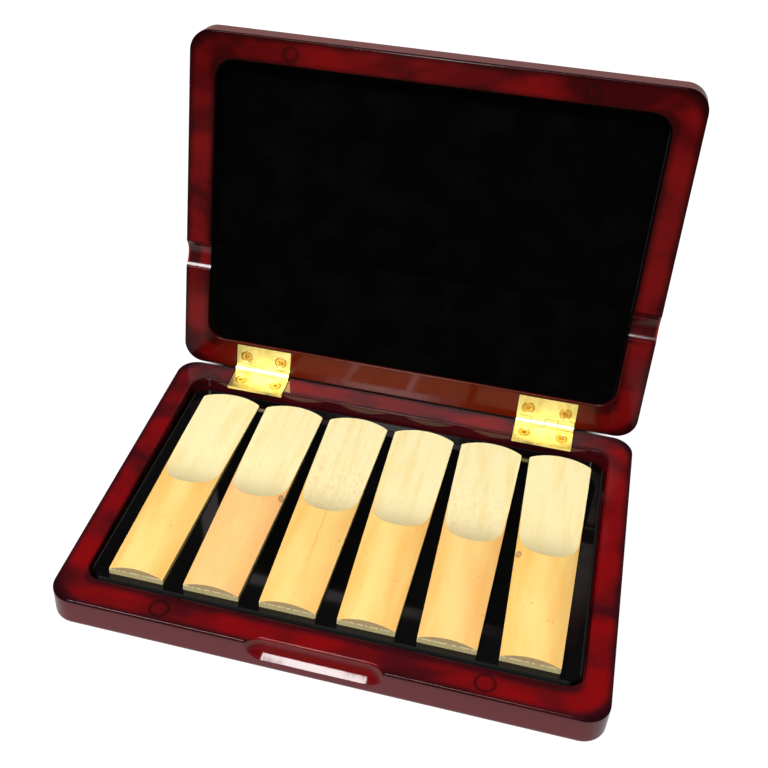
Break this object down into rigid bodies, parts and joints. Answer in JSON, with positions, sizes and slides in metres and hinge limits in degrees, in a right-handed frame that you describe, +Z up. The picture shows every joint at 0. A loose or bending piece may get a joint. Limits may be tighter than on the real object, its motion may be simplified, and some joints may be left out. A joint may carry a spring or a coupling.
{
  "type": "reed case",
  "caption": "Flat lacquered wooden case, lid open on two brass hinges, with cane saxophone reeds in a row on a dark glass plate.",
  "frame": {"origin": "centre of the base's flat underside", "axes": "+X to the right along the front edge, +Y to the back where the hinges are, +Z up"},
  "size_m": [0.125, 0.1159, 0.0988],
  "materials": {
    "lacquered_wood": "gloss lacquer",
    "black_felt": "matte",
    "black_glass": "polished",
    "cane": "satin",
    "black_velvet": "velvet",
    "brass": "polished",
    "magnet_plating": "plated"
  },
  "bodies": {
    "base": {"base_tray": "lacquered_wood", "plate_underlay": "black_felt", "glass_plate": "black_glass", "base_magnet_left": "magnet_plating", "base_magnet_right": "magnet_plating", "base_magnet_plug_left": "lacquered_wood", "base_magnet_plug_right": "lacquered_wood", "hinge_left_base_leaf": "brass", "hinge_left_base_screws": "brass", "hinge_left_pin": "brass", "hinge_right_base_leaf": "brass", "hinge_right_base_screws": "brass", "hinge_right_pin": "brass"},
    "lid": {"lid_shell": "lacquered_wood", "lid_wall_band": "black_velvet", "lid_pad_raised": "black_velvet", "lid_pad_recessed": "black_velvet", "lid_magnet_left": "magnet_plating", "lid_magnet_right": "magnet_plating", "lid_magnet_plug_left": "lacquered_wood", "lid_magnet_plug_right": "lacquered_wood", "hinge_left_lid_leaf": "brass", "hinge_left_lid_screws": "brass", "hinge_right_lid_leaf": "brass", "hinge_right_lid_screws": "brass"},
    "reed_1_body": {"reed_1": "cane"},
    "reed_2_body": {"reed_2": "cane"},
    "reed_3_body": {"reed_3": "cane"},
    "reed_4_body": {"reed_4": "cane"},
    "reed_5_body": {"reed_5": "cane"},
    "reed_6_body": {"reed_6": "cane"}
  },
  "joints": [
    {"name": "lid_hinge", "type": "hinge", "parent": "base", "child": "lid", "pos_m": [0, 0.04605, 0.00825], "axis": [-1, 0, 0], "range_deg": [-100, 0]},
    {"name": "reed_1_lift", "type": "slide", "parent": "base", "child": "reed_1_body", "axis": [0, 0, 1], "range_m": [0, 0.015]},
    {"name": "reed_2_lift", "type": "slide", "parent": "base", "child": "reed_2_body", "axis": [0, 0, 1], "range_m": [0, 0.015]},
    {"name": "reed_3_lift", "type": "slide", "parent": "base", "child": "reed_3_body", "axis": [0, 0, 1], "range_m": [0, 0.015]},
    {"name": "reed_4_lift", "type": "slide", "parent": "base", "child": "reed_4_body", "axis": [0, 0, 1], "range_m": [0, 0.015]},
    {"name": "reed_5_lift", "type": "slide", "parent": "base", "child": "reed_5_body", "axis": [0, 0, 1], "range_m": [0, 0.015]},
    {"name": "reed_6_lift", "type": "slide", "parent": "base", "child": "reed_6_body", "axis": [0, 0, 1], "range_m": [0, 0.015]}
  ]
}
